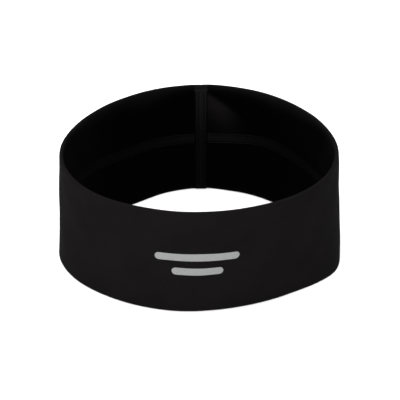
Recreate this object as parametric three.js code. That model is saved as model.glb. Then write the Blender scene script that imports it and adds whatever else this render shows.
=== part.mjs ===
// Sports headband: one strip of stretch jersey, folded double so that both rims are folds,
// with its long edges joined on the inside and its ends joined at the centre back.
// Millimetres, +Z up, front towards -Y. Run with the npm package three.
//
// Every piece is first laid out flat, in pattern space: x runs along the band, y up it, and
// z out of it, with the band's outer face at z = 0. Then it is wrapped round the ring.

import * as THREE from "three";

// The band
const HEIGHT = 70; // from fold to fold
const PLY = 0.6; // one layer of jersey
const LOFT = 1.2; // space between the outer and the inner layer
const FOLD_RADIUS = 0.8; // outside radius of the cloth at the corners of a rim
const SLIT = 0.3; // where two cut edges of the cloth meet
const RING_STEPS = 64; // slices round the ring
const RUN_STEP = 9; // longest slice up the band

// Plan of the two rims. Each is an ellipse that a few waves bend out of true:
// lean turns its bulges, egg flattens its front, square fills its corners, swirl skews them.
const TOP_RIM = { halfWidth: 81.1, halfDepth: 79, lean: 0.01, egg: 0.02, square: 0.002, swirl: 0.001 };
const BOTTOM_RIM = { halfWidth: 81.9, halfDepth: 70.4, lean: 0.016, egg: 0.031, square: 0.026, swirl: 0.01 };
const FRONT = -Math.PI / 2;
const BACK = Math.PI / 2;

// Seams: two needle rows with a thread that crosses between them on each face of the cloth
const THREAD = 0.4;
const TURN = 0.5; // half the height of a crossing thread, along the seam's width
const CLEARANCE = 0.3; // between a piece and the cloth that it lies on
const ROW_SPACING = 5.6; // between the two needle rows
const BACK_STITCH = 2.8; // along the back seam
const LONG_STITCH = 5.6; // along the long seam
const TACK = { width: 8, height: 2, inset: 1.8 }; // bar tack at each end of the back seam

// Printed emblem: a long bar over a short one
const FILM = 0.25;
const EMBLEM_DROP = 1; // of the emblem's middle below the band's
const UPPER_BAR = 48;
const LOWER_BAR = 30;
const BAR_HEIGHT = 5;
const BAR_GAP = 5;
const FILM_STEPS = 24;

const MIDDLE = HEIGHT / 2;
const THICKNESS = 2 * PLY + LOFT;
const INNER_FACE = -THICKNESS;
const RING_RADIUS = (TOP_RIM.halfWidth + TOP_RIM.halfDepth) / 2;
const STRIP_LENGTH = 2 * Math.PI * RING_RADIUS - SLIT;

function rimRadius(rim, angle) {
  const ellipse =
    (rim.halfWidth * rim.halfDepth) /
    Math.hypot(rim.halfDepth * Math.cos(angle), rim.halfWidth * Math.sin(angle));
  const waves =
    rim.lean * Math.sin(2 * angle) -
    rim.egg * Math.sin(3 * angle) +
    rim.square * Math.cos(4 * angle) -
    rim.swirl * Math.sin(4 * angle);
  return ellipse * (1 + waves);
}

// A point of the band's outer face.
function outerFace(angle, z) {
  const low = rimRadius(BOTTOM_RIM, angle);
  const radius = THREE.MathUtils.lerp(low, rimRadius(TOP_RIM, angle), z / HEIGHT);
  return new THREE.Vector3(radius * Math.cos(angle), radius * Math.sin(angle), z);
}

// Bends a flat piece round the ring. Its x = 0 lands at the given angle, and a millimetre of
// its length is a millimetre of a circle of the given radius.
function wrap(geometry, centre, radius) {
  const position = geometry.getAttribute("position");
  const angleStep = 1e-3;
  for (let i = 0; i < position.count; i++) {
    const angle = centre + position.getX(i) / radius;
    const z = position.getY(i);
    const point = outerFace(angle, z);
    const tangent = outerFace(angle + angleStep, z).sub(outerFace(angle - angleStep, z)).normalize();
    const out = new THREE.Vector3(tangent.y, -tangent.x, 0);
    point.addScaledVector(out, position.getZ(i));
    position.setXYZ(i, point.x, point.y, point.z);
  }
  return geometry;
}

const localRadius = (angle) => outerFace(angle, MIDDLE).setZ(0).length();

// A profile, drawn as depth into the band against height, run along the band.
function runAlong(profile, length) {
  return new THREE.ExtrudeGeometry(profile, {
    depth: length,
    steps: RING_STEPS,
    curveSegments: 1,
    bevelEnabled: false,
  })
    .rotateY(Math.PI / 2)
    .translate(-length / 2, 0, 0);
}

// The points inside a straight run up or down the band, which the two rims twist a little.
function run(depth, from, to) {
  const steps = Math.ceil(Math.abs(to - from) / RUN_STEP);
  const height = (i) => THREE.MathUtils.lerp(from, to, (i + 1) / steps);
  return Array.from({ length: steps - 1 }, (_, i) => new THREE.Vector2(depth, height(i)));
}

// A quarter turn, clockwise, from the given multiple of 90 degrees.
function bend(depth, height, radius, quarter) {
  const start = (quarter * Math.PI) / 2;
  const end = start - Math.PI / 2;
  return new THREE.EllipseCurve(depth, height, radius, radius, start, end, true).getPoints(2);
}

// One face of the cloth in section: from the slit down the inner layer, up the outer one and
// back to the slit. inset is how far that face lies inside the band's skin, and corner its
// radius at the bends.
function clothFace(inset, corner) {
  const inner = THICKNESS - inset;
  const low = inset + corner;
  const high = HEIGHT - low;
  return [
    new THREE.Vector2(inner, MIDDLE - SLIT / 2),
    ...run(inner, MIDDLE - SLIT / 2, low),
    ...bend(inner - corner, low, corner, 0),
    ...bend(low, low, corner, -1),
    ...run(inset, low, high),
    ...bend(low, high, corner, -2),
    ...bend(inner - corner, high, corner, -3),
    ...run(inner, high, MIDDLE + SLIT / 2),
    new THREE.Vector2(inner, MIDDLE + SLIT / 2),
  ];
}

// The folded cloth in section: a flat tube of jersey that is slit along the seam on its inner face.
function stripProfile() {
  return new THREE.Shape([
    ...clothFace(0, FOLD_RADIUS),
    ...clothFace(PLY, FOLD_RADIUS - PLY).reverse(),
  ]);
}

function bar(x0, y0, x1, y1) {
  const shape = new THREE.Shape();
  shape.moveTo(x0, y0).lineTo(x1, y0).lineTo(x1, y1).lineTo(x0, y1).closePath();
  return shape;
}

// A thread that runs along x, centred on 0, and crosses a strip of the given width as it goes.
function zigzag(length, stitch, width) {
  const turns = 2 * Math.round(length / stitch);
  const swing = width / 2 - TURN;
  const middles = Array.from({ length: turns + 1 }, (_, i) => [
    (i / turns - 0.5) * length,
    i % 2 ? swing : -swing,
  ]);
  const upper = middles.map(([x, y]) => new THREE.Vector2(x, y + TURN));
  const lower = middles.map(([x, y]) => new THREE.Vector2(x, y - TURN));
  return new THREE.Shape([...lower, ...upper.reverse()]);
}

function flatPiece(shape, thickness, z) {
  return new THREE.ExtrudeGeometry(shape, { depth: thickness, bevelEnabled: false }).translate(0, 0, z);
}

// A thin film with round ends, cut in narrow slices so that it follows the curve of the band.
function film(length, middleZ) {
  const slices = new THREE.BoxGeometry(2, 2, FILM, FILM_STEPS, 1, 1);
  const position = slices.getAttribute("position");
  const end = BAR_HEIGHT / 2;
  const blunt = end / 5;
  for (let i = 0; i < position.count; i++) {
    const x = (length / 2) * Math.sin((position.getX(i) * Math.PI) / 2);
    const pastStraight = Math.max(0, Math.abs(x) - (length / 2 - end));
    const half = Math.max(blunt, Math.sqrt(Math.max(0, end * end - pastStraight * pastStraight)));
    position.setXY(i, x, middleZ + half * position.getY(i));
  }
  return slices.translate(0, 0, CLEARANCE + FILM / 2);
}

const jersey = new THREE.MeshStandardMaterial({ color: 0x1a1819, roughness: 0.95, metalness: 0 });
const thread = new THREE.MeshStandardMaterial({ color: 0x161415, roughness: 0.8, metalness: 0 });
const print = new THREE.MeshStandardMaterial({ color: 0xa9a9ab, roughness: 0.45, metalness: 0.2 });

const band = new THREE.Group();

function add(name, geometry, material, centre, radius) {
  const mesh = new THREE.Mesh(wrap(geometry, centre, radius), material);
  mesh.name = name;
  band.add(mesh);
}

// The cloth
add("jersey_strip", runAlong(stripProfile(), STRIP_LENGTH), jersey, FRONT, RING_RADIUS);

// Long seam: it stops short of the back seam, which closes the ring after it.
function addLongSeam() {
  const length = STRIP_LENGTH - ROW_SPACING - 2 * THREAD - 2 * CLEARANCE;
  const onCloth = THICKNESS + CLEARANCE;
  for (const [side, sign] of [["upper", 1], ["lower", -1]]) {
    const z = MIDDLE + (sign * ROW_SPACING) / 2;
    const row = bar(onCloth, z - THREAD / 2, onCloth + THREAD, z + THREAD / 2);
    add(`long_seam_needle_thread_${side}`, runAlong(row, length), thread, FRONT, RING_RADIUS);
  }
  const between = ROW_SPACING - THREAD - 2 * CLEARANCE;
  const faces = [
    ["long_seam_cover_thread", INNER_FACE - CLEARANCE - THREAD],
    ["long_seam_looper_thread", INNER_FACE + PLY + CLEARANCE],
  ];
  for (const [name, z] of faces) {
    const crossing = flatPiece(zigzag(length, LONG_STITCH, between), THREAD, z).translate(0, MIDDLE, 0);
    add(name, crossing, thread, FRONT, RING_RADIUS);
  }
}
addLongSeam();

// Back seam: it runs up the band through both layers, between the two bar tacks.
function addBackSeam() {
  const radius = localRadius(BACK);
  const length = HEIGHT - 2 * (TACK.inset + TACK.height + CLEARANCE);
  for (const [side, sign] of [["left", 1], ["right", -1]]) {
    const x = (sign * ROW_SPACING) / 2;
    const row = bar(x - THREAD / 2, MIDDLE - length / 2, x + THREAD / 2, MIDDLE + length / 2);
    add(`back_seam_needle_thread_${side}`, flatPiece(row, THREAD, CLEARANCE), thread, BACK, radius);
  }
  const between = ROW_SPACING - THREAD - 2 * CLEARANCE;
  const faces = [
    ["back_seam_cover_thread", CLEARANCE, between],
    ["back_seam_looper_thread", INNER_FACE - CLEARANCE - THREAD, ROW_SPACING],
  ];
  for (const [name, z, width] of faces) {
    const crossing = flatPiece(zigzag(length, BACK_STITCH, width), THREAD, z);
    crossing.rotateZ(Math.PI / 2).translate(0, MIDDLE, 0);
    add(name, crossing, thread, BACK, radius);
  }
  const tackFoot = { top: HEIGHT - TACK.inset - TACK.height, bottom: TACK.inset };
  for (const [end, foot] of Object.entries(tackFoot)) {
    const outline = bar(-TACK.width / 2, foot, TACK.width / 2, foot + TACK.height);
    const tack = flatPiece(outline, THREAD, INNER_FACE - CLEARANCE - THREAD);
    add(`back_seam_tack_${end}`, tack, thread, BACK, radius);
  }
}
addBackSeam();

// Emblem
function addEmblem() {
  const radius = localRadius(FRONT);
  const offset = (BAR_HEIGHT + BAR_GAP) / 2;
  add("emblem_bar_upper", film(UPPER_BAR, MIDDLE - EMBLEM_DROP + offset), print, FRONT, radius);
  add("emblem_bar_lower", film(LOWER_BAR, MIDDLE - EMBLEM_DROP - offset), print, FRONT, radius);
}
addEmblem();

// The part's origin is on the ground, under the middle of the whole band.
const box = new THREE.Box3().setFromObject(band);
band.position.set(-(box.min.x + box.max.x) / 2, -(box.min.y + box.max.y) / 2, 0);

const headband = new THREE.Group();
headband.add(band);

export default headband;
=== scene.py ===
"""A stretch jersey sports headband on a pale floor: folded cloth, flatlock seams and a printed mark.

Metres, +Z up, the mark towards -Y. A place on the band is given as x, the way round its outer face
from the centre back by way of -X, as height, and as depth into the wall from the outer face.
"""

import math

import bpy
import numpy as np
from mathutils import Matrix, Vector


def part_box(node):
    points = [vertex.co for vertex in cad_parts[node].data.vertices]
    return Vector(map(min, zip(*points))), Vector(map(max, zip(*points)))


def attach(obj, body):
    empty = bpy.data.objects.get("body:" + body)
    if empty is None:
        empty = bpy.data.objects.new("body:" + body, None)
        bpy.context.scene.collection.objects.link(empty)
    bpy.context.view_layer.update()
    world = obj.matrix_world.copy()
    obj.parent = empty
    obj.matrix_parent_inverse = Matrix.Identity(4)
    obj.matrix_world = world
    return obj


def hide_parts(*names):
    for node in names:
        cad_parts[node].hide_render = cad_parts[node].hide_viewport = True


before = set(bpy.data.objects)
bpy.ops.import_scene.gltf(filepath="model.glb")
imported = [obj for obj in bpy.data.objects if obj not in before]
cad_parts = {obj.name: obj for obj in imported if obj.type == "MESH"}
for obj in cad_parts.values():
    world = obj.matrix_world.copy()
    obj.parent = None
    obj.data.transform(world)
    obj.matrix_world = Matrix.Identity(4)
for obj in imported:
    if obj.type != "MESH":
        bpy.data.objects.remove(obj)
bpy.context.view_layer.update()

MM = 0.001
TURN = 2 * math.pi
BACK = math.pi / 2
FRONT = -math.pi / 2

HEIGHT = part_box("jersey_strip")[1].z
MIDDLE = HEIGHT / 2

# Cloth
WALL = 2.4 * MM  # both layers and the loft between them
PLY = 0.6 * MM
LAP = 5.8 * MM  # the two cut edges of the long seam overlap by this
OVER, UNDER = 0.75 * PLY, -0.35 * PLY  # how far each of them is pushed into the ring there
LAP_HALF, LAP_EDGE = LAP / 2 - 0.2 * MM, 1.4 * MM  # where that push is full, and over which it fades
HARMONICS = 6  # that describe the plan of a rim

# Mesh pitch: coarse over the cloth, fine where a seam is
COARSE = 1.8 * MM
FINE = 0.5 * MM
FOLD_STEPS = 8  # round a rim
FOLD_REACH, SEAM_REACH = 2 * MM, 5 * MM  # how far from a rim and from the back seam it stays fine

# Seams
THREAD = 0.17 * MM  # radius
SIDES = 6  # of a thread
STITCH = 2.4 * MM
STEPS = 6  # points on each crossing or stitch
ROW = 2.8 * MM  # of a needle row from the middle of its seam
CHAIN = 0.42 * MM  # half the width of a chain row inside the back seam
SEAM_END = 3.6 * MM  # of the back seam's stitches from the rims
SEAM_GAP = 1.4 * MM  # from the back seam's outer rows to the end of the long seam
BURIED = OVER + 2.4 * PLY  # depth of the long seam's looper thread, inside the tube

# The back seam's turned-in edges, which the cloth lies over
RIDGE_HALF = 3 * MM
INNER_RIDGE, INNER_RIDGE_EDGE = 0.95 * MM, 1.3 * MM  # how far they stand out, and how softly
OUTER_RIDGE, OUTER_RIDGE_EDGE = 0.25 * MM, 1.6 * MM
GROOVE, GROOVE_WIDTH = 0.4 * MM, 0.45 * MM  # where they meet, seen from outside

# Uneven cloth. A hill is a centre on the way from the back or the front, a width and a height
WAVE = 0.11 * MM  # of the whole wall
CALM = [(0, 12 * MM, 0.6)]  # the share of it that the firm back seam takes away
RIM_WAVE = 0.06 * MM  # of the upper rim, up and down
SEAM_WAVE = 0.3 * MM  # of the long seam's line, which the cloth follows near it
SEAM_PULL = 14 * MM
LOW_BACK_BOWS = [(-18 * MM, 11 * MM, -1.1 * MM), (52 * MM, 18 * MM, -1.6 * MM)]
LOW_FRONT_BOWS = [(98 * MM, 12 * MM, 1.6 * MM), (64 * MM, 14 * MM, -1.1 * MM)]
RIM_LIFTS = [(-34 * MM, 16 * MM, 0.55 * MM), (38 * MM, 20 * MM, 0.4 * MM)]
CREPT_UP = [(-48 * MM, 26 * MM, 3.6 * MM)]  # of the long seam, to the right of the back seam

# Puckers along the seams
PUCKER_AWAY = 5 * MM  # of the deepest ones from the middle of the seam
BACK_PUCKER, BACK_PUCKER_WIDTH = 0.16 * MM, 6 * MM
PUCKER_PITCH, SECOND_PITCH = 6.2 * MM, 9.7 * MM
PUCKER_SWAY, SWAY_RATE = 0.6 * MM, 900  # radians a metre
LONG_PUCKER, LONG_PUCKER_WIDTH = 0.13 * MM, 4 * MM

# The pulled cloth under the upper rim, to the right of the back seam: a swelling under a crease
CREASE_SLOPE = 0.65
CREASE_DROP = 1.4 * MM  # below the rim, at the seam
CREASE_DEPTH, CREASE_WIDTH, CREASE_LENGTH = 0.8 * MM, 2 * MM, 9 * MM
SWELLING, SWELLING_WIDTH, SWELLING_LENGTH = 1.4 * MM, 6 * MM, 11 * MM
SWELLING_DROP = 9 * MM  # of its middle below the crease
PULL_AWAY = 14 * MM  # of the middle of both from the seam

# Cloth simulation of the folded strip, held at its seams and rims
SLACK = 0.004  # how much longer the inner layer is than the seams that hold it
OUTER_SHARE = 0.3  # of that slack, in the outer layer
UNEVEN = 0.02 * MM
HELD = 0.95  # how firmly the seams and rims are held
SEAM_HOLD, RIM_HOLD, HOLD_EDGE = 3 * MM, 3 * MM, 1.5 * MM
SIM_COLUMNS, SIM_ROWS, SIM_FOLD_ROWS = 200, 28, 2  # round the band, up each layer, round each fold
SIM_FRAMES = 20
SIM_SCALE = 10  # the solver is steadier on a larger model
SIM_CAP = 0.6 * MM  # no point ends further than this from where it was laid

# How light the black is, against 1 on the outer face. Inside the ring this paints shade and highlights into
# the colour
# The inner face is painted far darker than the outer face of the same jersey; part of this is painted shade
# inside the ring
INNER_TONE = 0.07
# Painted highlights along both rims of the inner face, where the folded cloth catches the light
UPPER_RIM_TONE, LOWER_RIM_TONE = 0.62, 0.3
RIM_HIGHLIGHT, RIM_HIGHLIGHT_LOW = 3.4 * MM, 1.8 * MM  # how far from each rim the painted highlight reaches
RIM_HIGHLIGHT_WAVE = 1.3 * MM
RIM_HIGHLIGHT_MORE = [(36 * MM, 16 * MM, 4.5 * MM), (-76 * MM, 24 * MM, 2 * MM)]
RIM_HIGHLIGHT_LESS = [(0, 12 * MM, 0.45)]
# A painted highlight on the slack cloth beside the back seam, under the crease
PULL_HIGHLIGHT_TONE = 0.85
PULL_HIGHLIGHT_START, PULL_HIGHLIGHT_END = 10 * MM, 11 * MM  # full this far from the back seam, then fading
PULL_HIGHLIGHT_DROP, PULL_HIGHLIGHT_EDGE = 12.5 * MM, 3.6 * MM  # how far below the crease, and how softly it starts
# A painted patch of light on the inner face, on the left
LEFT_PAINTED_LIGHT = [(95 * MM, 22 * MM, 0.15)]
RIDGE_LIGHT = 0.5  # the ridge's painted light, against the thread on it
# Inside the ring the back seam's thread is painted dark like the inner face, with a painted highlight
# towards the upper rim
BACK_SEAM_TONE, BACK_SEAM_HIGHLIGHT, SEAM_LIGHT_DROP = 0.15, 0.8, 24 * MM
# Inside the ring the long seam's thread is painted dark like the inner face, with painted light that varies
# along it
LONG_SEAM_TONE = 0.16
LONG_SEAM_LIGHT_MORE = [(-10 * MM, 34 * MM, 0.45), (-90 * MM, 35 * MM, -0.1)]

# Print
FILM = 0.14 * MM
FILM_EDGE = 0.2 * MM  # over which it thins out
FILM_SUNK = 0.3 * FILM
FILM_BACK = 0.5 * FILM  # of its hidden face below the cloth's
FILM_BLUNT = 0.02 * MM  # keeps the ends from closing to a point
FILM_COLUMNS, FILM_ROWS = 161, 21

# Materials
JERSEY_BLACK = (0.00467, 0.0042, 0.00447)
THREAD_BLACK = (0.007, 0.0068, 0.0067)
PRINT_GREY = (0.1594, 0.161, 0.1618)
FLOOR_WHITE = (0.86, 0.86, 0.86)
WALE, COURSE = 0.62 * MM, 0.5 * MM  # the knit's loops, across and along
KNIT_DEPTH, FIBRE_DEPTH, BEAD_DEPTH = 0.07 * MM, 0.05 * MM, 0.05 * MM

# Camera
ELEVATION, AZIMUTH = math.radians(30), math.radians(0.7)
DISTANCE = 1.2
LENS, SENSOR = 181.5, 36
SHIFT_X, SHIFT_Y = 0.0015, -0.0093


# ---------------------------------------------------------------- the band's shape


def waves(angle):
    """Columns 1, cos, sin, cos 2, sin 2 ... of the angle."""
    angle = np.asarray(angle, float)
    columns = [np.ones_like(angle)]
    for k in range(1, HARMONICS + 1):
        columns += [np.cos(k * angle), np.sin(k * angle)]
    return np.stack(columns, axis=-1)


def fitted(angle, radius):
    """The weights for waves() that come nearest to the radius."""
    return np.linalg.lstsq(waves(angle), radius, rcond=None)[0]


def rim_terms(height):
    """The outer radius at one level of the CAD strip, as weights for waves()."""
    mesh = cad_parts["jersey_strip"].data
    points = np.array([v.co for v in mesh.vertices], float)
    levels = np.unique(np.round(points[:, 2], 6))
    level = levels[np.argmin(abs(levels - height))]
    ring = points[abs(points[:, 2] - level) < 0.01 * MM]
    angle, radius = np.arctan2(ring[:, 1], ring[:, 0]), np.hypot(ring[:, 0], ring[:, 1])
    # The points of the outer face lie well outside the mean of both faces.
    outer = radius - waves(angle) @ fitted(angle, radius) > 0.35 * WALL
    return fitted(angle[outer], radius[outer])


RIM_TURN = 0.8 * MM  # the CAD wall starts to turn over this far from each end
LOW_LEVEL, HIGH_LEVEL = RIM_TURN, HEIGHT - RIM_TURN
LOW_TERMS, HIGH_TERMS = rim_terms(LOW_LEVEL), rim_terms(HIGH_LEVEL)


def place(angle, height, depth):
    """Points at the given depth inside the band's outer face, and the way out of it there."""
    angle, height, depth = np.broadcast_arrays(angle, height, depth)
    share = ((height - LOW_LEVEL) / (HIGH_LEVEL - LOW_LEVEL))[..., None]
    terms = LOW_TERMS + (HIGH_TERMS - LOW_TERMS) * share
    radius = (waves(angle) * terms).sum(-1)
    step = 1e-4
    slope = ((waves(angle + step) - waves(angle - step)) * terms).sum(-1) / (2 * step)
    along_x = slope * np.cos(angle) - radius * np.sin(angle)
    along_y = slope * np.sin(angle) + radius * np.cos(angle)
    out = np.stack([along_y, -along_x, np.zeros_like(radius)], -1)
    out /= np.linalg.norm(out, axis=-1, keepdims=True)
    points = np.stack([radius * np.cos(angle), radius * np.sin(angle), height], -1)
    return points - out * depth[..., None], out


# The way round the band, measured on its outer face at mid height from the centre back
TABLE_ANGLES = np.linspace(BACK, BACK + TURN, 4001)
TABLE_STEPS = np.linalg.norm(np.diff(place(TABLE_ANGLES, MIDDLE, 0.0)[0], axis=0), axis=1)
TABLE_X = np.r_[0, np.cumsum(TABLE_STEPS)]
GIRTH = TABLE_X[-1]
FRONT_X = float(np.interp(FRONT + TURN, TABLE_ANGLES, TABLE_X))


def angle_at(x):
    return np.interp(np.mod(x, GIRTH), TABLE_X, TABLE_ANGLES)


def from_back(x):
    """The signed way from the centre back. It is positive towards -X."""
    return (x + GIRTH / 2) % GIRTH - GIRTH / 2


def from_front(x):
    """The signed way from the centre front. It is positive towards +X."""
    return x - FRONT_X


# ---------------------------------------------------------------- folds and waves in the cloth


def hill(value, width):
    return np.exp(-((value / width) ** 2))


def hills(value, shapes):
    """Several hills added up."""
    return sum(height * hill(value - centre, width) for centre, width, height in shapes)


def eased(t):
    """From 0 to 1 as t does, with level ends."""
    t = np.clip(t, 0, 1)
    return t * t * (3 - 2 * t)


def plateau(value, half, edge):
    """1 up to half from 0, falling to 0 over the next edge."""
    return eased((half + edge - abs(value)) / edge)


def rolling(x, height, seed, fewest, most, count, upright=1.0):
    """Soft random waves, -1 to 1 or so, with fewest to most of them round the band."""
    random = np.random.default_rng(seed)
    total = 0
    for _ in range(count):
        around = random.integers(fewest, most + 1)
        tilt = random.normal() * around * TURN / GIRTH * upright
        total = total + np.sin(TURN * around * x / GIRTH + tilt * height + random.uniform(0, TURN))
    return total / math.sqrt(count)


def low_bows(x, height):
    """Soft bows of the wall near its lower rim, beside the back seam and at the front right."""
    bows = hills(from_back(x), LOW_BACK_BOWS) + hills(from_front(x), LOW_FRONT_BOWS)
    return bows * np.clip(1 - height / HEIGHT, 0, 1) ** 2


def rim_lift(x, height):
    """How far the cloth near the upper rim stands above the CAD's level one."""
    lift = hills(from_front(x), RIM_LIFTS)
    lift = lift + RIM_WAVE * rolling(x, 0.0, seed=31, fewest=8, most=20, count=6)
    start = 0.6 * HEIGHT
    return lift * np.clip((height - start) / (HEIGHT - start), 0, 1) ** 2


def back_puckers(x, height):
    """Gathers on both sides of the back seam."""
    swayed = height + PUCKER_SWAY * np.sin(SWAY_RATE * height)
    wave = np.sin(TURN * swayed / PUCKER_PITCH) + 0.6 * np.sin(TURN * height / SECOND_PITCH + 1.0)
    return BACK_PUCKER * wave * hill(abs(from_back(x)) - PUCKER_AWAY, BACK_PUCKER_WIDTH)


def both_layers(x, height):
    """How far outwards the whole wall stands off the CAD's smooth one."""
    body = WAVE * rolling(x, height, seed=11, fewest=5, most=14, count=9)
    body = body * (1 - hills(from_back(x), CALM))
    return body + back_puckers(x, height) + low_bows(x, height)


def below_crease(x, height):
    """How far a place is under the crease that runs down from the top of the back seam."""
    drop = HEIGHT - height
    return (drop - CREASE_DROP + CREASE_SLOPE * from_back(x)) / math.hypot(1, CREASE_SLOPE)


def pull_mark(x, height):
    """The slack cloth beside the back seam: a swelling with a crease above it."""
    side, below = -from_back(x) - PULL_AWAY, below_crease(x, height)
    crease = hill(below + 1 * MM, CREASE_WIDTH) * hill(side, CREASE_LENGTH)
    swelling = hill(below - SWELLING_DROP, SWELLING_WIDTH) * hill(side, SWELLING_LENGTH)
    return SWELLING * swelling - CREASE_DEPTH * crease


def long_puckers(x, height):
    """Gathers along the long seam, which the firm back seam keeps off."""
    line = height - long_seam_height(x)
    wave = rolling(x, height, seed=8, fewest=50, most=75, count=5, upright=0.3)
    quiet = 1 - 0.8 * plateau(from_back(x), RIDGE_HALF + 0.5 * MM, 3 * MM)
    return LONG_PUCKER * wave * hill(abs(line) - PUCKER_AWAY, LONG_PUCKER_WIDTH) * quiet


def inner_relief(x, height):
    """How far the inner face stands into the ring, past the wall."""
    ridge = INNER_RIDGE * plateau(from_back(x), RIDGE_HALF, INNER_RIDGE_EDGE)
    return ridge + long_puckers(x, height) + pull_mark(x, height) - look_up(INNER_MOVE, x, height)


def outer_relief(x, height):
    """How far the outer face stands out of the band."""
    seam = from_back(x)
    ridge = OUTER_RIDGE * plateau(seam, RIDGE_HALF, OUTER_RIDGE_EDGE)
    return ridge - GROOVE * hill(seam, GROOVE_WIDTH) + look_up(OUTER_MOVE, x, height)


def long_seam_height(x):
    """It rises to the right of the back seam, where the inner layer has crept up."""
    wave = SEAM_WAVE * rolling(x, 0.0, seed=21, fewest=3, most=9, count=5)
    return MIDDLE + hills(from_back(x), CREPT_UP) + wave


def lapped(x, height):
    """1 where the two edges of the long seam lie over each other, 0 away from it."""
    return plateau(height - long_seam_height(x), LAP_HALF, LAP_EDGE)


def inner_skin(x, height):
    """Depth of the inner face, on the upper edge of the cloth where the two edges lap."""
    lift = OVER * lapped(x, height)
    return WALL + inner_relief(x, height) + lift - both_layers(x, height)


def outer_skin(x, height):
    """Depth of the outer face."""
    return -outer_relief(x, height) - both_layers(x, height)


def on_skin(skin, x, height, lift):
    """Points that stand off a skin of the band by lift, and the way out of that skin."""
    inwards = 1 if skin is inner_skin else -1
    points, out = place(angle_at(x), height, skin(x, height) + inwards * lift)
    return points, -inwards * out


# ---------------------------------------------------------------- how the cloth settles


def fold(height_of_centre, start, steps=FOLD_STEPS):
    """A half turn of the cloth at a rim, as depths and heights of its middle."""
    radius = (WALL - PLY) / 2
    turn = np.linspace(start, start - math.pi, steps + 1)
    return WALL / 2 + radius * np.cos(turn), height_of_centre + radius * np.sin(turn)


def loop_section():
    """The middle of the cloth in section as a closed loop: up the outer layer, down the inner one."""
    low = WALL / 2
    up = np.linspace(low, HEIGHT - low, SIM_ROWS + 1)[:-1]
    top_depth, top_height = fold(HEIGHT - low, math.pi, SIM_FOLD_ROWS)
    bottom_depth, bottom_height = fold(low, 0, SIM_FOLD_ROWS)
    outer, inner = np.full(SIM_ROWS, PLY / 2), np.full(SIM_ROWS, WALL - PLY / 2)
    depth = np.r_[outer, top_depth[:-1], inner, bottom_depth[:-1]]
    return depth, np.r_[up, top_height[:-1], HEIGHT - up, bottom_height[:-1]]


def ring_faces(columns, rows):
    """Quads of a grid that closes both ways."""
    faces = []
    for i in range(columns):
        here, ahead = i * rows, (i + 1) % columns * rows
        for j in range(rows):
            above = (j + 1) % rows
            faces.append((here + j, ahead + j, ahead + above, here + above))
    return faces


def add_weights(piece, name, weights):
    group = piece.vertex_groups.new(name=name)
    for index, weight in enumerate(weights.reshape(-1).tolist()):
        group.add([index], min(1.0, max(0.0, weight)), "REPLACE")


def hold(piece, x, height, depth):
    """The seams and rims are held where they are, and only the cloth between them is slack."""
    edges = plateau(from_back(x), SEAM_HOLD, HOLD_EDGE)
    middle = (depth > WALL / 2) * plateau(height - MIDDLE, SEAM_HOLD, HOLD_EDGE)
    seams = np.maximum(edges, middle)
    rims = hill(np.minimum(abs(height), abs(HEIGHT - height)), RIM_HOLD)
    add_weights(piece, "held", HELD * np.maximum(seams, rims))
    add_weights(piece, "taut", np.maximum(seams, (depth < WALL / 2) * (1 - OUTER_SHARE)))


def add_cloth(piece):
    """Cloth between its held rows is a little too long for them, so it buckles softly."""
    modifier = piece.modifiers.new("cloth", "CLOTH")
    cloth = modifier.settings
    cloth.quality = 5
    cloth.mass = 0.3
    cloth.tension_stiffness = cloth.compression_stiffness = 30
    cloth.shear_stiffness = 15
    cloth.bending_stiffness = 0.5
    cloth.effector_weights.gravity = 0
    cloth.vertex_group_mass = "held"
    cloth.vertex_group_shrink = "taut"
    cloth.shrink_min, cloth.shrink_max = -SLACK, 0
    modifier.collision_settings.use_collision = False
    modifier.point_cache.frame_end = SIM_FRAMES


def simulated(piece):
    """Where the points of the piece are after the last frame. The piece is removed."""
    for frame_number in range(1, SIM_FRAMES + 1):
        bpy.context.scene.frame_set(frame_number)
    result = piece.evaluated_get(bpy.context.evaluated_depsgraph_get()).to_mesh()
    points = np.zeros(3 * len(result.vertices), np.float32)
    result.vertices.foreach_get("co", points)
    bpy.data.objects.remove(piece)
    bpy.context.scene.frame_set(1)
    return points.reshape(-1, 3)


def softened(table):
    """The table with each entry averaged with its neighbours."""
    for axis in (0, 1):
        table = (2 * table + np.roll(table, 1, axis) + np.roll(table, -1, axis)) / 4
    return table


def settle():
    """How far each layer moves out of the band: tables over x and height, outer and inner."""
    depth, height = loop_section()
    X, Z = np.meshgrid(np.arange(SIM_COLUMNS) * GIRTH / SIM_COLUMNS, height, indexing="ij")
    D = np.broadcast_to(depth, X.shape)
    uneven = UNEVEN * np.random.default_rng(3).standard_normal(X.shape)
    laid, out = place(angle_at(X), Z, D - both_layers(X, Z) + uneven)
    points = laid.reshape(-1, 3) * SIM_SCALE
    piece = new_object("settling", points, ring_faces(*X.shape), None)
    hold(piece, X, Z, D)
    add_cloth(piece)
    settled = simulated(piece).reshape(laid.shape) / SIM_SCALE
    move = softened(((settled - laid) * out).sum(-1))
    move = SIM_CAP * np.tanh(move / SIM_CAP)
    inner_start = SIM_ROWS + SIM_FOLD_ROWS
    outer = move[:, : SIM_ROWS + 1]
    inner = move[:, inner_start : inner_start + SIM_ROWS + 1][:, ::-1]
    return outer, inner


def cubic_weights(t):
    """Of the four entries round a place, t past the second of them."""
    return (
        -t / 2 + t**2 - t**3 / 2,
        1 - 2.5 * t**2 + 1.5 * t**3,
        t / 2 + 2 * t**2 - 1.5 * t**3,
        -(t**2) / 2 + t**3 / 2,
    )


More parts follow.
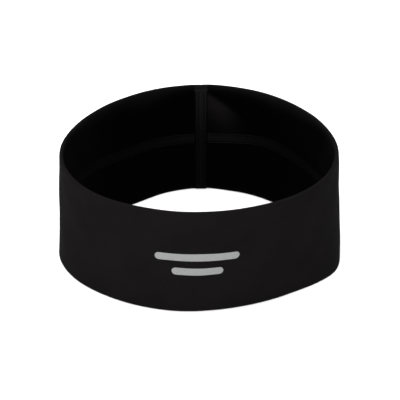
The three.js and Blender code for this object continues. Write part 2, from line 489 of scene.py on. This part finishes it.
def look_up(table, x, height):
    """A smooth reading of a table over x and height."""
    columns, rows = table.shape
    u = np.mod(x, GIRTH) / GIRTH * columns
    v = np.clip((height - WALL / 2) / (HEIGHT - WALL), 0, 1) * (rows - 1)
    i, j = np.floor(u).astype(int), np.minimum(np.floor(v).astype(int), rows - 2)
    total = 0
    for m, across in enumerate(cubic_weights(u - i)):
        for n, up in enumerate(cubic_weights(v - j)):
            entry = table[(i + m - 1) % columns, np.clip(j + n - 1, 0, rows - 1)]
            total = total + across * up * entry
    return total


# ---------------------------------------------------------------- how light the black is


def rim_highlights(x, height):
    """Painted highlights along both rims, where the folded cloth catches the light."""
    reach = RIM_HIGHLIGHT + RIM_HIGHLIGHT_WAVE * rolling(x, 0.0, seed=41, fewest=3, most=9, count=5)
    reach = reach + hills(from_back(x), RIM_HIGHLIGHT_MORE)
    upper = UPPER_RIM_TONE * hill(HEIGHT - height, reach) * (1 - hills(from_back(x), RIM_HIGHLIGHT_LESS))
    return upper + LOWER_RIM_TONE * hill(height, RIM_HIGHLIGHT_LOW)


def pull_highlight(x, height):
    """A painted highlight in a fan between the crease and the back seam, where the slack cloth catches the
    light.
    """
    below, side = below_crease(x, height), -from_back(x)
    starts = eased((below + 0.6 * MM) / PULL_HIGHLIGHT_EDGE) * eased((side - 2 * MM) / (3 * MM))
    fades = hill(np.maximum(below - 1 * MM, 0), PULL_HIGHLIGHT_DROP)
    fades = fades * hill(np.maximum(side - PULL_HIGHLIGHT_START, 0), PULL_HIGHLIGHT_END)
    return PULL_HIGHLIGHT_TONE * starts * fades


def cloth_tone(x, height, layer):
    """1 on the outer layer. The inner one is painted far darker, partly as shade, with painted light on its
    rims, seam ridge, pull mark and left.
    """
    seam = from_back(x)
    # The ridge under the back seam takes the seam's painted light.
    ridge = RIDGE_LIGHT * back_seam_light(height) * plateau(seam, RIDGE_HALF, INNER_RIDGE_EDGE)
    inner = INNER_TONE + rim_highlights(x, height) + pull_highlight(x, height) + ridge
    # A painted patch of light on the left of the inner face.
    inner = np.minimum(1, inner + hills(seam, LEFT_PAINTED_LIGHT))
    return 1 + (inner - 1) * eased((layer - 0.35) / 0.65)


def back_seam_light(height):
    """Painted light on the thread inside: a highlight at the upper rim, fading lower down."""
    return BACK_SEAM_TONE + BACK_SEAM_HIGHLIGHT * hill(HEIGHT - height, SEAM_LIGHT_DROP)


def long_seam_light(x):
    """Painted light on the thread: lighter near the back seam, darker where the seam comes down again on
    the right.
    """
    return LONG_SEAM_TONE + hills(from_back(x), LONG_SEAM_LIGHT_MORE)


def thread_tone(name, skin, x, height):
    """As light as the cloth on the outside; on the inside, the painted light and shade of its seam."""
    if skin is outer_skin:
        return np.ones(len(x))
    if name.startswith("long_seam"):
        return long_seam_light(x)
    return back_seam_light(height)


def set_tone(piece, tone):
    attribute = piece.data.attributes.new("tone", "FLOAT", "POINT")
    attribute.data.foreach_set("value", np.ascontiguousarray(tone, np.float32))


# ---------------------------------------------------------------- the cloth's mesh


def new_object(name, points, faces, material):
    mesh = bpy.data.meshes.new(name)
    mesh.from_pydata(points.tolist(), [], faces)
    mesh.polygons.foreach_set("use_smooth", np.ones(len(mesh.polygons), bool))
    if material:
        mesh.materials.append(material)
    mesh.validate()
    piece = bpy.data.objects.new(name, mesh)
    bpy.context.scene.collection.objects.link(piece)
    return piece


def spaced(start, end, focus, reach):
    """Positions from start to end, FINE apart within reach of each place in focus."""
    values = [start]
    while values[-1] < end:
        near = min(abs(values[-1] - f) for f in focus)
        share = min(1, max(0, (near - reach) / (4 * reach)))
        values.append(values[-1] + FINE + (COARSE - FINE) * share)
    values = np.array(values)
    return start + (values - start) * (end - start) / (values[-1] - start)


def cloth_path():
    """The middle of the cloth in section, from one cut edge to the other: depth, height, a share of
    0 on the outer layer to 1 on the inner one, and how far the cloth is pushed where it laps."""
    inner, outer = WALL - PLY / 2, PLY / 2
    low = WALL / 2
    high = HEIGHT - low
    first = spaced(low, MIDDLE + LAP / 2, [MIDDLE], LAP)[::-1][:-1]
    up = spaced(low, high, [low, high], FOLD_REACH)[1:-1]
    last = spaced(MIDDLE - LAP / 2, high, [MIDDLE], LAP)[::-1][1:]
    bottom_depth, bottom_height = fold(low, 0)
    top_depth, top_height = fold(high, math.pi)
    outside = np.full(len(up), outer)
    depth = np.r_[np.full(len(first), inner), bottom_depth, outside, top_depth, np.full(len(last), inner)]
    height = np.r_[first, bottom_height, up, top_height, last]
    layer = np.clip((depth - outer) / (inner - outer), 0, 1)
    push = np.zeros(len(depth))
    push[: len(first)] = UNDER
    push[-len(last) :] = OVER
    return depth, height, layer, push


def laid_cloth(x, path):
    """The middle of the cloth, the way out of the band there, and its tone."""
    X, H = np.meshgrid(x, path[1], indexing="ij")
    D, L, P = (np.broadcast_to(a, X.shape) for a in (path[0], path[2], path[3]))
    Z = H + (long_seam_height(X) - MIDDLE) * L * hill(H - MIDDLE, SEAM_PULL)
    relief = L * (inner_relief(X, Z) + P * lapped(X, Z)) - (1 - L) * outer_relief(X, Z)
    depth = D + relief - both_layers(X, Z)
    Z = Z + rim_lift(X, Z)
    points, out = place(angle_at(X), Z, depth)
    return points, out, cloth_tone(X, Z, L)


def cloth_normal(points, out):
    """The way out of the cloth, which points out of the band on its outer layer."""
    along_x = np.roll(points, -1, 0) - np.roll(points, 1, 0)
    normal = np.cross(np.gradient(points, axis=1), along_x)
    normal /= np.linalg.norm(normal, axis=-1, keepdims=True)
    middle = points.shape[1] // 2
    outwards = (normal * out).sum(-1)[:, middle].mean() > 0
    return normal if outwards else -normal


def ply_faces(columns, rows):
    """Quads of both faces of the cloth and of its two cut edges. The ring closes on itself."""
    half = columns * rows

    def at(i, j, face):
        return (i % columns) * rows + j + face * half

    faces = []
    for i in range(columns):
        for j in range(rows - 1):
            a, b, c, d = at(i, j, 0), at(i + 1, j, 0), at(i + 1, j + 1, 0), at(i, j + 1, 0)
            faces.append((b, c, d, a))
            faces.append((d + half, c + half, b + half, a + half))
        for j in (0, rows - 1):
            edge = (at(i, j, 0), at(i, j, 1), at(i + 1, j, 1), at(i + 1, j, 0))
            faces.append(edge if j == 0 else edge[::-1])
    return faces


def build_cloth(material):
    x = spaced(0, GIRTH, [0, GIRTH], SEAM_REACH)[:-1]
    path = cloth_path()
    points, out, tone = laid_cloth(x, path)
    normal = cloth_normal(points, out)
    skin, lining = points + normal * PLY / 2, points - normal * PLY / 2
    vertices = np.concatenate([skin.reshape(-1, 3), lining.reshape(-1, 3)])
    piece = new_object("jersey_cloth", vertices, ply_faces(*tone.shape), material)
    across = np.r_[0, np.cumsum(np.hypot(np.diff(path[0]), np.diff(path[1])))]
    add_pattern(piece.data, x, across)
    set_tone(piece, np.tile(tone.reshape(-1), 2))
    return piece


def add_pattern(mesh, x, across):
    """Two maps: the cloth's own coordinates in metres, for the knit, and a neat layout for baking."""
    rows, half = len(across), len(x) * len(across)
    vertex = np.zeros(len(mesh.loops), np.int64)
    mesh.loops.foreach_get("vertex_index", vertex)
    face_of = np.repeat(np.arange(len(mesh.polygons)), [p.loop_total for p in mesh.polygons])
    u, v = x[vertex % half // rows], across[vertex % half % rows]
    # A face that closes the ring reads its far side one girth on.
    low, high = np.full(len(mesh.polygons), np.inf), np.zeros(len(mesh.polygons))
    np.minimum.at(low, face_of, u)
    np.maximum.at(high, face_of, u)
    wraps = (high - low)[face_of] > GIRTH / 2
    u = np.where(wraps & (u < GIRTH / 2), u + GIRTH, u)
    pattern = mesh.uv_layers.new(name="pattern")
    pattern.data.foreach_set("uv", np.stack([u, v], -1).reshape(-1))
    # The layout has the lining above the skin, with a narrow margin.
    size, lining_lift = GIRTH * 1.01, across[-1] * 1.05
    v = v + vertex // half * lining_lift
    layout = mesh.uv_layers.new(name="OFBake")
    layout.data.foreach_set("uv", np.stack([u / size, v / size], -1).reshape(-1))


# ---------------------------------------------------------------- seams


def tube(paths, outs):
    """Round threads along paths: vertices and faces. outs are the ways out of the surface."""
    points, faces, first = [], [], 0
    turn = np.arange(SIDES) * TURN / SIDES
    for path, out in zip(paths, outs):
        ahead = np.gradient(path, axis=0)
        ahead /= np.linalg.norm(ahead, axis=1, keepdims=True)
        side = np.cross(ahead, out)
        side /= np.linalg.norm(side, axis=1, keepdims=True)
        up = np.cross(side, ahead)
        around = side[:, None] * np.cos(turn)[None, :, None] + up[:, None] * np.sin(turn)[None, :, None]
        points.append((path[:, None] + THREAD * around).reshape(-1, 3))
        last = first + (len(path) - 1) * SIDES
        for ring in range(first, last, SIDES):
            for k in range(SIDES):
                a, b = ring + k, ring + (k + 1) % SIDES
                faces.append((a, a + SIDES, b + SIDES, b))
        faces.append(tuple(range(first, first + SIDES)))
        faces.append(tuple(range(last, last + SIDES))[::-1])
        first = last + SIDES
    return np.concatenate(points), faces


def stitched(name, material, skin, paths):
    """Threads that lie on a skin. Each path is x, height and lift above the skin."""
    lines, outs = zip(*(on_skin(skin, *path) for path in paths))
    points, faces = tube(lines, outs)
    piece = new_object(name, points, faces, material)
    tones = [thread_tone(name, skin, x, height) for x, height, _ in paths]
    set_tone(piece, np.repeat(np.concatenate(tones), SIDES))
    return piece


def needle_row(length):
    """Straight stitches: the way along the row, and a lift that dips into the cloth between them."""
    count = round(length / STITCH)
    along = np.linspace(0, length, count * STEPS + 1)
    proud, sunk = 1.0, 1.2
    arch = abs(np.sin(math.pi * count * along / length)) ** 0.5
    return along, THREAD * ((proud + sunk) * arch - sunk)


def crossing(length, reach, phase=0.0):
    """A thread that crosses a seam from row to row: along, across and lift."""
    count = round(length / STITCH)
    along = np.linspace(0, length, count * 2 * STEPS + 1)
    turn = TURN * (count * along / length + phase)
    sharp = 0.985  # the corners of the zigzag are a little round
    across = reach * np.arcsin(sharp * np.sin(turn)) / math.asin(sharp)
    lean = 0.12 * STITCH * np.sin(2 * turn)
    lift = THREAD * (0.7 + 0.5 * np.cos(2 * turn + TURN * phase))
    return along + lean, across, lift


def build_long_seam(material):
    start = ROW + SEAM_GAP
    length = GIRTH - 2 * start

    def at(along, across, lift):
        x = start + along
        return x, long_seam_height(x) + across, lift

    for side, sign in (("upper", 1), ("lower", -1)):
        along, lift = needle_row(length)
        row = at(along, sign * ROW, lift)
        yield stitched(f"long_seam_needle_stitches_{side}", material, inner_skin, [row])
    strands = [at(*crossing(length, ROW, phase)) for phase in (0.0, 0.5)]
    yield stitched("long_seam_cover_stitches", material, inner_skin, strands)
    x, height, lift = at(*crossing(length, ROW))
    yield stitched("long_seam_looper_stitches", material, inner_skin, [(x, height, lift - BURIED)])


def build_back_seam(material):
    length = HEIGHT - 2 * SEAM_END

    def crossed(middle, reach, lift_by):
        for phase in (0.0, 0.5):
            along, across, lift = crossing(length, reach, phase)
            yield middle + across, SEAM_END + along, lift + lift_by

    for side, sign in (("left", 1), ("right", -1)):
        along, lift = needle_row(length)
        row = (np.full_like(along, sign * ROW), SEAM_END + along, lift)
        yield stitched(f"back_seam_needle_stitches_{side}", material, outer_skin, [row])
    yield stitched("back_seam_cover_stitches", material, outer_skin, [*crossed(0.0, ROW, 0.0)])
    strands = [*crossed(0.0, ROW, 0.0)]
    for row in (-ROW, 0.0, ROW):
        strands += crossed(row, CHAIN, THREAD)
    yield stitched("back_seam_looper_stitches", material, inner_skin, strands)


def build_tack(end, material):
    """A bar tack: close upright stitches side by side across the end of the back seam."""
    low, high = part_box(f"back_seam_tack_{end}")
    half, swing = (high.x - low.x) / 2, (high.z - low.z) / 2
    pitch = 2.3 * THREAD
    count = round(2 * half / pitch)
    turn = np.linspace(0, count * math.pi, count * STEPS + 1)
    x = np.linspace(-half, half, len(turn))
    height = (high.z + low.z) / 2 + swing * np.sin(turn)
    lift = THREAD * (0.9 + 0.7 * np.cos(turn) ** 2)
    return stitched(f"back_seam_bar_tack_{end}", material, inner_skin, [(x, height, lift)])


# ---------------------------------------------------------------- print


def sheet_faces(columns, rows):
    """Quads of the upper and the under side of a small sheet, and of the edge between them."""
    count = columns * rows
    faces = []
    for i in range(columns - 1):
        for j in range(rows - 1):
            k = i * rows + j
            faces.append((k, k + rows, k + rows + 1, k + 1))
            faces.append((count + k + 1, count + k + rows + 1, count + k + rows, count + k))
    edge = [i * rows for i in range(columns)]
    edge += [(columns - 1) * rows + j for j in range(1, rows)]
    edge += [i * rows + rows - 1 for i in range(columns - 2, -1, -1)]
    edge += range(rows - 2, 0, -1)
    for k, after in zip(edge, edge[1:] + edge[:1]):
        faces.append((k, count + k, count + after, after))
    return faces


def build_film(name, material):
    """A printed bar with round ends, pressed onto the outer face."""
    low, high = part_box(f"emblem_bar_{name}")
    half, end = (high.x - low.x) / 2, (high.z - low.z) / 2
    along = np.sin(np.linspace(-math.pi / 2, math.pi / 2, FILM_COLUMNS)) * half
    past = np.maximum(0, abs(along) - (half - end))
    tall = np.sqrt(np.maximum(end**2 - past**2, 0.0)) + FILM_BLUNT
    share = np.sin(np.linspace(-math.pi / 2, math.pi / 2, FILM_ROWS))
    across = share * tall[:, None]
    inset = end - np.hypot(past[:, None], across)
    lift = FILM * np.clip(inset / FILM_EDGE, 0, 1) ** 0.5 - FILM_SUNK
    x = FRONT_X + (low.x + high.x) / 2 + np.broadcast_to(along[:, None], across.shape)
    height = (low.z + high.z) / 2 + across
    top = on_skin(outer_skin, x, height, lift)[0].reshape(-1, 3)
    under = on_skin(outer_skin, x, height, -FILM_BACK)[0].reshape(-1, 3)
    faces = sheet_faces(FILM_COLUMNS, FILM_ROWS)
    return new_object(f"emblem_print_{name}", np.concatenate([top, under]), faces, material)


# ---------------------------------------------------------------- materials


class Nodes:
    """A small helper that adds shader nodes and links them."""

    def __init__(self, name):
        self.material = bpy.data.materials.new(name)
        self.material.use_nodes = True
        self.tree = self.material.node_tree
        self.shader = self.tree.nodes["Principled BSDF"]

    def add(self, kind, inputs=None, **settings):
        node = self.tree.nodes.new(kind)
        for key, value in settings.items():
            setattr(node, key, value)
        for key, value in (inputs or {}).items():
            self.feed(node.inputs[key], value)
        return node

    def feed(self, socket, value):
        if isinstance(value, bpy.types.NodeSocket):
            self.tree.links.new(value, socket)
        else:
            socket.default_value = value

    def surface(self, **values):
        """Sets or links the shader's own sockets, with _ for each space in a name."""
        for name, value in values.items():
            self.feed(self.shader.inputs[name.replace("_", " ")], value)

    def maths(self, operation, a, b=0.0, c=0.0):
        node = self.add("ShaderNodeMath", operation=operation)
        for socket, value in zip(node.inputs, (a, b, c)):
            self.feed(socket, value)
        return node.outputs[0]

    def where(self):
        """The place on the object, in metres."""
        return self.add("ShaderNodeTexCoord").outputs["Object"]

    def tone(self):
        return self.add("ShaderNodeAttribute", attribute_name="tone").outputs["Fac"]

    def noise(self, vector, scale, detail=2.0, roughness=0.5):
        inputs = {"Vector": vector, "Scale": scale, "Detail": detail, "Roughness": roughness}
        return self.add("ShaderNodeTexNoise", inputs).outputs["Fac"]

    def spread(self, value, low, high, to_low, to_high):
        inputs = {"Value": value, "From Min": low, "From Max": high, "To Min": to_low, "To Max": to_high}
        return self.add("ShaderNodeMapRange", inputs).outputs["Result"]

    def shaded(self, colour, shade):
        """One colour, lighter or darker from place to place."""
        scaled = self.add("ShaderNodeVectorMath", {"Scale": shade}, operation="SCALE")
        scaled.inputs[0].default_value = colour
        return scaled.outputs[0]

    def bump(self, height, depth, strength=0.5, invert=False):
        inputs = {"Height": height, "Distance": depth, "Strength": strength}
        return self.add("ShaderNodeBump", inputs, invert=invert).outputs[0]


def knit_height(n):
    """Columns of V-shaped loops, in the cloth's own coordinates."""
    uv = n.add("ShaderNodeUVMap", uv_map="pattern").outputs["UV"]
    split = n.add("ShaderNodeSeparateXYZ", {"Vector": uv})
    wale = n.maths("DIVIDE", split.outputs["X"], WALE)
    course = n.maths("DIVIDE", split.outputs["Y"], COURSE)
    leg = n.maths("ABSOLUTE", n.maths("SUBTRACT", n.maths("FRACT", wale), 0.5))
    phase = n.maths("MULTIPLY_ADD", leg, 1.1, course)
    loops = n.maths("SINE", n.maths("MULTIPLY", phase, TURN))
    ribs = n.maths("SINE", n.maths("MULTIPLY", leg, TURN))
    return n.maths("MULTIPLY_ADD", loops, 0.25, n.maths("MULTIPLY", ribs, 0.75))


def jersey_material():
    n = Nodes("jersey")
    knit, where = knit_height(n), n.where()
    fuzz = n.noise(where, scale=2600.0)
    blotch = n.noise(where, scale=55.0, detail=3.0)
    shade = n.maths("MULTIPLY", n.spread(blotch, 0.3, 0.7, 0.9, 1.1), n.spread(knit, -0.25, 1.0, 0.75, 1.1))
    # The tone attribute paints shade and highlights into the inner face's colour.
    shade = n.maths("MULTIPLY", shade, n.tone())
    n.surface(
        Base_Color=n.shaded(JERSEY_BLACK, shade),
        Roughness=n.spread(fuzz, 0.3, 0.7, 0.82, 0.98),
        Normal=n.bump(n.maths("MULTIPLY_ADD", fuzz, 0.35, knit), KNIT_DEPTH, strength=0.6),
        Specular_IOR_Level=0.004,
        Sheen_Weight=0.0025,
        Sheen_Roughness=0.4,
    )
    return n.material


def thread_material():
    n = Nodes("thread")
    fibre = n.noise(n.where(), scale=5200.0)
    # The tone attribute paints the seams' light and shade into the thread's colour inside the ring.
    shade = n.maths("MULTIPLY", n.spread(fibre, 0.3, 0.7, 0.7, 1.3), n.tone())
    n.surface(
        Base_Color=n.shaded(THREAD_BLACK, shade),
        Roughness=n.spread(fibre, 0.3, 0.7, 0.5, 0.7),
        Normal=n.bump(fibre, FIBRE_DEPTH),
        Specular_IOR_Level=0.02,
        Sheen_Weight=0.002,
    )
    return n.material


def print_material():
    """A reflective film of fine glass beads."""
    n = Nodes("print")
    where = n.where()
    beads = n.add("ShaderNodeTexVoronoi", {"Vector": where, "Scale": 2000.0}, feature="F1")
    speckle = n.noise(where, scale=1100.0, detail=3.0, roughness=0.7)
    n.surface(
        Base_Color=n.shaded(PRINT_GREY, n.spread(speckle, 0.3, 0.7, 0.82, 1.1)),
        Roughness=n.spread(speckle, 0.3, 0.7, 0.45, 0.65),
        Normal=n.bump(beads.outputs["Distance"], BEAD_DEPTH, invert=True),
        Metallic=0.2,
    )
    return n.material


def floor_material():
    n = Nodes("floor")
    n.surface(Base_Color=(*FLOOR_WHITE, 1), Roughness=0.9)
    return n.material


# ---------------------------------------------------------------- the band


def keep(piece, node):
    """The piece stands for a CAD node and moves with the only body."""
    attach(piece, "root")
    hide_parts(node)
    return piece


def build_band():
    jersey, thread, film = jersey_material(), thread_material(), print_material()
    cloth = keep(build_cloth(jersey), "jersey_strip")
    for piece in [*build_long_seam(thread), *build_back_seam(thread)]:
        keep(piece, piece.name.replace("_stitches", "_thread"))
    for end in ("top", "bottom"):
        keep(build_tack(end, thread), f"back_seam_tack_{end}")
    for name in ("upper", "lower"):
        keep(build_film(name, film), f"emblem_bar_{name}")


OUTER_MOVE, INNER_MOVE = settle()
build_band()


# ---------------------------------------------------------------- stage, light and camera


def build_floor():
    bpy.ops.mesh.primitive_plane_add(size=12)
    floor = bpy.context.object
    floor.name = "floor"
    floor.data.materials.append(floor_material())


def add_light(name, where, target, size, watts):
    """A soft round lamp."""
    lamp = bpy.data.lights.new(name, "AREA")
    lamp.shape = "DISK"
    lamp.size = size
    lamp.energy = watts
    light = bpy.data.objects.new(name, lamp)
    light.location = where
    light.rotation_euler = (Vector(target) - Vector(where)).to_track_quat("-Z", "Y").to_euler()
    bpy.context.scene.collection.objects.link(light)


def build_world():
    """Even white light from all round."""
    world = bpy.data.worlds.new("studio")
    world.use_nodes = True
    background = world.node_tree.nodes["Background"]
    background.inputs["Color"].default_value = (1, 1, 1, 1)
    background.inputs["Strength"].default_value = 1.0
    bpy.context.scene.world = world


def build_camera():
    camera = bpy.data.cameras.new("camera")
    camera.lens, camera.sensor_width = LENS, SENSOR
    camera.shift_x, camera.shift_y = SHIFT_X, SHIFT_Y
    camera.clip_end = 50
    eye = bpy.data.objects.new("camera", camera)
    level = DISTANCE * math.cos(ELEVATION)
    rise = DISTANCE * math.sin(ELEVATION)
    eye.location = (level * math.sin(AZIMUTH), -level * math.cos(AZIMUTH), MIDDLE + rise)
    eye.rotation_euler = (math.pi / 2 - ELEVATION, 0, AZIMUTH)
    bpy.context.scene.collection.objects.link(eye)
    bpy.context.scene.camera = eye


build_floor()
build_world()
add_light("key", where=(-0.43, -1.2, 0.9), target=(0, 0, MIDDLE), size=0.9, watts=22.8)
add_light("side", where=(-1.4, 0.4, 0.5), target=(0, 0, MIDDLE), size=0.6, watts=5)
add_light("top", where=(0.1, 0.1, 1.6), target=(0, 0, 0), size=1.2, watts=25)
build_camera()
bpy.context.scene.view_settings.view_transform = "Standard"
